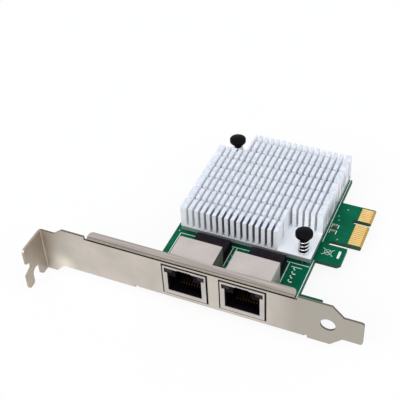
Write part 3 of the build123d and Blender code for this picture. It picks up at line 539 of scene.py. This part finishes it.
def make_chips(m):
    tan, tin = m["capacitor_tan"], m["tinned"]
    chip_parts("coupling_capacitors", COUPLING_PLACES, CHIP, tan, tin, 0.22)
    chip_parts("decoupling_capacitors", decoupling_places(), CHIP, tan, tin, 0.22)
    resistors = [(50.0 + i * 2.6, 36.5, True) for i in range(8)]
    chip_parts("chip_resistors", resistors, RESISTOR, m["resistor_black"], tin, 0.2)
    chip_parts("bulk_capacitors", BULK_PLACES, BULK, m["tantalum"], tin, 0.08)


def spring_path(turns, low, high, wire, radius, steps):
    """A compression spring's middle line, with most of its first and last turns closed."""
    points = []
    closed = 0.8
    for i in range(steps + 1):
        t = turns * i / steps
        inner = min(max((t - closed) / (turns - 2 * closed), 0.0), 1.0)
        rest = min(t, closed) + min(max(t - (turns - closed), 0.0), closed)
        z = low + wire * rest + (high - low - 2 * wire * closed) * inner
        points.append(Vector((radius * math.cos(math.tau * t), radius * math.sin(math.tau * t), z)))
    return points


def make_spring(side, m):
    """The coil between the heat sink's floor and the push pin's head."""
    floor, top, lift, wire, radius, turns = 6.59, 14.84, 0.05, 0.5, 1.85, 5.6
    sides, steps = 12, 240
    x, y = PINS[side]
    points = spring_path(turns, floor + lift + wire / 2, top - wire / 2, wire, radius, steps)
    bm = bmesh.new()
    rings = []
    for i, point in enumerate(points):
        ahead = (points[min(i + 1, len(points) - 1)] - points[max(i - 1, 0)]).normalized()
        out = Vector((point.x, point.y, 0)).normalized()
        up = ahead.cross(out)
        ring = []
        for k in range(sides):
            angle = math.tau * k / sides
            spot = point + (out * math.cos(angle) + up * math.sin(angle)) * wire / 2
            ring.append(bm.verts.new(at(x + spot.x, y + spot.y, spot.z)))
        rings.append(ring)
    for a, b in zip(rings, rings[1:]):
        for k in range(sides):
            j = (k + 1) % sides
            bm.faces.new((a[k], a[j], b[j], b[k]))
    bm.faces.new(rings[0][::-1])
    bm.faces.new(rings[-1])
    name = f"coil_spring_{side}"
    piece = new_piece(name, mesh_of(name, bm, smooth=True), [m["spring_steel"]])
    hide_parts(f"pin_spring_{side}")
    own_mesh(piece)


def make_prints(m):
    """Outlines and generic marks printed on the board."""
    outlines = path_strokes([(42.3, 1.9), (42.3, 29.0), (92.4, 29.0)], PRINT_LINE)
    outlines += [stroke((x, 16.0), (x, 28.6), PRINT_LINE) for x in (63.6, 65.0, 85.2)]
    for start, end in ((2.0, 32.8), (43.0, 79.0)):
        outlines.append(stroke((SINK_RIGHT, start), (SINK_RIGHT, end), PRINT_LINE))
    outlines.append(rectangle(100.1, 101.0, 36.6, 40.3))
    outlines += round_mark((96.4, 38.5), 1.3, FINE_LINE)
    for start, end in (((94.4, 36.9), (98.4, 40.1)), ((94.4, 40.1), (98.4, 36.9))):
        outlines.append(stroke(start, end, FINE_LINE))
    outlines += row_marks(87.4, 19.6, 2.0, (1.6, 1.1, 1.6, 0.9))
    outlines.append(stroke((86.5, 27.2), (90.2, 27.2), PRINT_LINE))
    beside, reach = 1.2, 0.85
    for x, y, _ in COUPLING_PLACES:
        for column in (x - beside, x + beside):
            outlines.append(stroke((column, y - reach), (column, y + reach), PRINT_LINE))
    plates("board_print", outlines, BOARD_TOP, BOARD_TOP + PRINT_THICK, m["print_ink"])


def row_marks(x, first, pitch, lengths):
    """A column of small L-shaped marks."""
    marks = []
    for i, length in enumerate(lengths):
        y = first + i * pitch
        marks.append(rectangle(x, x + length, y, y + 0.5))
        marks.append(rectangle(x, x + 0.4, y, y + 1.3))
    return marks


def round_mark(centre, radius, width, count=16):
    points = disc(centre, radius, count)
    return path_strokes(points + points[:1], width)


def make_tracks(m):
    """Copper runs under the mask, above and below the board."""
    thick = 0.5 * PRINT_THICK
    plates("board_tracks", upper_tracks(), BOARD_TOP, BOARD_TOP + thick, m["track_mask"])
    plates("board_tracks_under", lower_tracks(), BOARD_BOTTOM - thick, BOARD_BOTTOM, m["track_mask"])


def upper_tracks():
    """Runs from the fingers to the heat sink, along the left edge and in the right front corner."""
    fingers, sink = 101.0, 92.9
    runs = []
    for i, y in enumerate((46.0, 47.0, 49.3, 50.3, 51.9, 52.9)):
        runs.append([(fingers, y), (98.2, y), (97.3 - 0.2 * i, y + 0.6), (sink, y + 0.6)])
    for i in range(5):
        y = 60.1 + i
        runs.append([(fingers, y), (97.0 - 0.4 * i, y), (95.4 - 0.4 * i, y + 1.4), (sink, y + 1.4)])
    for i in range(3):
        x = 40.5 + 0.45 * i
        runs.append([(x, 3.0 + i), (x, 26.0 + i), (x + 0.5, 27.0 + i), (x + 0.5, 78.0 - i)])
    for i in range(4):
        x = 87.0 + 0.5 * i
        runs.append([(x + 1.6, 3.2), (x + 1.6, 12.0), (x, 13.6), (x, 18.4)])
    return [outline for run in runs for outline in path_strokes(run, TRACK_WIDTH)]


def lower_tracks():
    """Runs from the fingers inwards, and back from the jacks' tails."""
    fingers, before_key = 101.0, 11
    runs = []
    for i in range(18):
        y = 49.65 + i if i < before_key else 58.65 + (i - before_key)
        bend = 96.0 - 0.5 * i if i < before_key else 88.0 + 0.5 * (i - before_key)
        runs.append([(fingers, y), (bend, y), (bend - 2.0, y - 2.0), (bend - 12.0, y - 2.0)])
    for x in wire_columns():
        runs.append([(x, 13.2), (x, 24.0), (x + 2.0, 26.0), (x + 2.0, 38.0)])
    return [outline for run in runs for outline in path_strokes(run, TRACK_WIDTH)]


def wire_columns():
    """Where the eight wires of each jack stand along the bracket."""
    return [centre + (i - 3.5) * WIRE_PITCH for centre in JACK_CENTRES for i in range(8)]


def make_vias(m):
    """Small plated holes on both faces, and the bare rings round the screws."""
    via, screw_pad = (0.12, 0.3), (1.7, 3.2)
    spots = [(41.3, 30 + 6.1 * i) for i in range(8)]
    spots += [(91.6, 3.2), (91.0, 6.0), (88.6, 3.0), (86.6, 5.4)]
    spots += [(97.6, 45.9), (95.2, 56.0), (94.6, 58.2), (96.8, 62.6)]
    spots += [(64.6 + 0.9 * (i % 2), 18.2 + 1.6 * i) for i in range(6)]
    rng = random.Random(SEED)
    under = spots + [(rng.uniform(46, 90), rng.uniform(32, 76)) for _ in range(70)]
    bm = bmesh.new()
    for spot in spots:
        add_ring(bm, spot, *via, BOARD_TOP, BOARD_TOP + PRINT_THICK, 12)
    for spot in under:
        add_ring(bm, spot, *via, BOARD_BOTTOM - PRINT_THICK, BOARD_BOTTOM, 12)
    for place in SCREW_PLACES:
        add_ring(bm, place, *screw_pad, BOARD_TOP, BOARD_TOP + 0.5 * PRINT_THICK, 32)
    new_piece("board_pads", mesh_of("board_pads", bm), [m["tinned"]])


def tail_places():
    """Where the jacks' tails come through the board, with the radii of the solder cone and the tail."""
    rows, lamp_row, lamp_out, lamp_half_pitch = (9.9, 12.1), 14.375, 5.925, 0.635
    places = []
    for x in JACK_CENTRES:
        places += [(x + (i - 3.5) * WIRE_PITCH, rows[i % 2], 0.48, 0.17) for i in range(8)]
        for side in (-1, 1):
            lamp = x + side * lamp_out
            places += [(lamp + step * lamp_half_pitch, lamp_row, 0.55, 0.2) for step in (-1, 1)]
    return places


def make_solder(m):
    """Solder cones round the tails on the underside, and at the shields' legs."""
    bm = bmesh.new()
    count = 14
    profile = ((1.0, 0.0), (0.66, 0.16), (0.45, 0.4), (0.34, 0.75))
    for x, y, radius, tail in tail_places():
        rings = []
        for share, drop in profile:
            r = max(radius * share, tail)
            rings.append([bm.verts.new(at(px, py, BOARD_BOTTOM - drop)) for px, py in disc((x, y), r, count)])
        for a, b in zip(rings, rings[1:]):
            for i in range(count):
                j = (i + 1) % count
                bm.faces.new((a[i], b[i], b[j], a[j]))
        bm.faces.new(rings[0])
        bm.faces.new(rings[-1][::-1])
    leg_out, leg_row, half_thick, half_long, drop, bevel = 7.875, 10.9, 0.55, 1.1, 0.45, 0.2
    for centre in JACK_CENTRES:
        for x in (centre - leg_out, centre + leg_out):
            add_box(bm, (x - half_thick, leg_row - half_long, BOARD_BOTTOM - drop),
                    (x + half_thick, leg_row + half_long, BOARD_BOTTOM), bevel, 0)
    new_piece("solder_cones", mesh_of("solder_cones", bm, smooth=True), [m["solder"]])


def make_lead_solder(m):
    """A small bead of solder at the toe of each lead of the two modules."""
    shift, pitch, count, toe_out = -0.4, 1.1, 11, 6.2
    half_wide, long, high, bevel = 0.24, 0.22, 0.14, 0.05
    bm = bmesh.new()
    for x in JACK_CENTRES:
        for i in range(count):
            lead = x + shift + (i - (count - 1) / 2) * pitch
            for side in (-1, 1):
                toe = MODULE_LEADS_Y + side * toe_out
                near, far = sorted((toe, toe + side * long))
                add_box(bm, (lead - half_wide, near, BOARD_TOP),
                        (lead + half_wide, far, BOARD_TOP + high), bevel, 0)
    new_piece("lead_solder", mesh_of("lead_solder", bm), [m["solder"]])


# Scene

def dress_nodes(frame, m):
    """Gives each CAD node that stays its material."""
    looks = {
        "pcb": "solder_mask", "bracket": "bracket_steel", "bracket_screw_left": "screw_steel",
        "bracket_screw_right": "screw_steel", "edge_contacts_top": "gold", "edge_contacts_bottom": "gold",
        "heat_sink": "aluminium", "controller_chip": "package_black", "thermal_pad": "pad_grey",
        "push_pin_front": "pin_black", "push_pin_rear": "pin_black", "pin_spring_front": "spring_steel",
        "pin_spring_rear": "spring_steel", "coupling_capacitors": "capacitor_tan",
        "decoupling_capacitors": "capacitor_tan", "chip_resistors": "resistor_black",
        "flash_memory": "package_black", "flash_leads": "tinned", "voltage_regulator": "package_black",
        "regulator_leads": "tinned", "power_inductor": "ferrite", "crystal": "can_metal",
        "bulk_capacitors": "tantalum",
    }
    for i in (1, 2):
        looks.update({
            f"jack_shield_{i}": "shield_steel", f"jack_housing_{i}": "housing_black",
            f"jack_contacts_{i}": "wire_gold_painted_shade", f"jack_led_leads_{i}": "tinned",
            f"jack_led_left_{i}": "lamp_smoke", f"jack_led_right_{i}": "lamp_smoke",
            f"magnetics_{i}": "package_black", f"magnetics_leads_{i}": "tinned",
        })
    for name, node in frame["nodes"].items():
        for slot in node.material_slots:
            slot.material = m[looks[name]]


def make_camera():
    right, down, forward = Vector(CAMERA_RIGHT), Vector(CAMERA_DOWN), Vector(CAMERA_FORWARD)
    camera = bpy.data.objects.new("camera", bpy.data.cameras.new("camera"))
    bpy.context.scene.collection.objects.link(camera)
    turn = Matrix((right, -down, -forward)).transposed().to_4x4()
    camera.matrix_world = Matrix.Translation(at(*CAMERA_PLACE)) @ turn
    camera.data.sensor_width = SENSOR_WIDTH
    camera.data.lens = SENSOR_WIDTH * FOCAL_PIXELS / PHOTO_PIXELS
    camera.data.clip_start = 0.01
    camera.data.clip_end = 20.0
    bpy.context.scene.camera = camera


def seen_factor(tree):
    """1 for camera, mirror and glass rays, so that all of them see the plain background."""
    path = tree.nodes.new("ShaderNodeLightPath")
    total = path.outputs["Is Camera Ray"]
    for name in ("Is Glossy Ray", "Is Transmission Ray"):
        add = tree.nodes.new("ShaderNodeMath")
        add.operation = "ADD"
        add.use_clamp = True
        tree.links.new(total, add.inputs[0])
        tree.links.new(path.outputs[name], add.inputs[1])
        total = add.outputs[0]
    return total


def make_world():
    world = bpy.data.worlds.new("studio")
    bpy.context.scene.world = world
    world.use_nodes = True
    tree = world.node_tree
    plain = tree.nodes["Background"]
    plain.inputs["Color"].default_value = SKY_COLOUR
    plain.inputs["Strength"].default_value = SKY_STRENGTH
    seen = tree.nodes.new("ShaderNodeBackground")
    seen.inputs["Color"].default_value = WHITE
    seen.inputs["Strength"].default_value = 1.0
    mix = tree.nodes.new("ShaderNodeMixShader")
    tree.links.new(seen_factor(tree), mix.inputs[0])
    tree.links.new(plain.outputs[0], mix.inputs[1])
    tree.links.new(seen.outputs[0], mix.inputs[2])
    tree.links.new(mix.outputs[0], tree.nodes["World Output"].inputs["Surface"])


def make_lamps():
    """A soft key lamp in front of the card and a weaker one to its right."""
    for name, (direction, strength, spread) in LAMPS.items():
        data = bpy.data.lights.new(name, "SUN")
        data.energy = strength
        data.angle = math.radians(spread)
        lamp = bpy.data.objects.new(name, data)
        bpy.context.scene.collection.objects.link(lamp)
        lamp.rotation_mode = "QUATERNION"
        lamp.rotation_quaternion = Vector(direction).to_track_quat("Z", "Y")


def make_floor():
    """A white table that keeps a faint shadow."""
    n = Nodes("floor_white")
    n.shader.inputs["Base Color"].default_value = FLOOR_COLOUR
    n.shader.inputs["Roughness"].default_value = 0.9
    n.shader.inputs["Specular IOR Level"].default_value = 0.0
    glow = n.add("ShaderNodeEmission")
    glow.inputs["Color"].default_value = WHITE
    glow.inputs["Strength"].default_value = 1.0
    share = n.times(seen_factor(n.tree), FLOOR_GLOW)
    mix = n.add("ShaderNodeMixShader")
    n.link(share, mix.inputs[0])
    n.link(n.shader.outputs[0], mix.inputs[1])
    n.link(glow.outputs[0], mix.inputs[2])
    n.link(mix.outputs[0], n.tree.nodes["Material Output"].inputs["Surface"])
    z = at(0, 0, FLOOR_LEVEL).z
    corners = [(x, y, z) for x, y in rectangle(-FLOOR_HALF, FLOOR_HALF, -FLOOR_HALF, FLOOR_HALF)]
    mesh_data = bpy.data.meshes.new("floor")
    mesh_data.from_pydata(corners, [], [(0, 1, 2, 3)])
    mesh_data.materials.append(n.material)
    floor = bpy.data.objects.new("floor", mesh_data)
    bpy.context.scene.collection.objects.link(floor)


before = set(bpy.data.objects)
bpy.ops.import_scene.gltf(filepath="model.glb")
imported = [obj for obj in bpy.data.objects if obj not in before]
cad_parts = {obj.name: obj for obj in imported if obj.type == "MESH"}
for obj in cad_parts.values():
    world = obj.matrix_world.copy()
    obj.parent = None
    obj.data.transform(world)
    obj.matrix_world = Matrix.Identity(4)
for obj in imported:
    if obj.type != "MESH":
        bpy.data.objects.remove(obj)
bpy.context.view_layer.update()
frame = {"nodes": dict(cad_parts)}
bpy.context.scene.view_settings.view_transform = "Standard"
materials = make_materials()
dress_nodes(frame, materials)
make_camera()
make_world()
make_lamps()
make_floor()
make_chips(materials)
for pin_side in PINS:
    make_spring(pin_side, materials)
make_prints(materials)
make_tracks(materials)
make_vias(materials)
make_solder(materials)
make_lead_solder(materials)
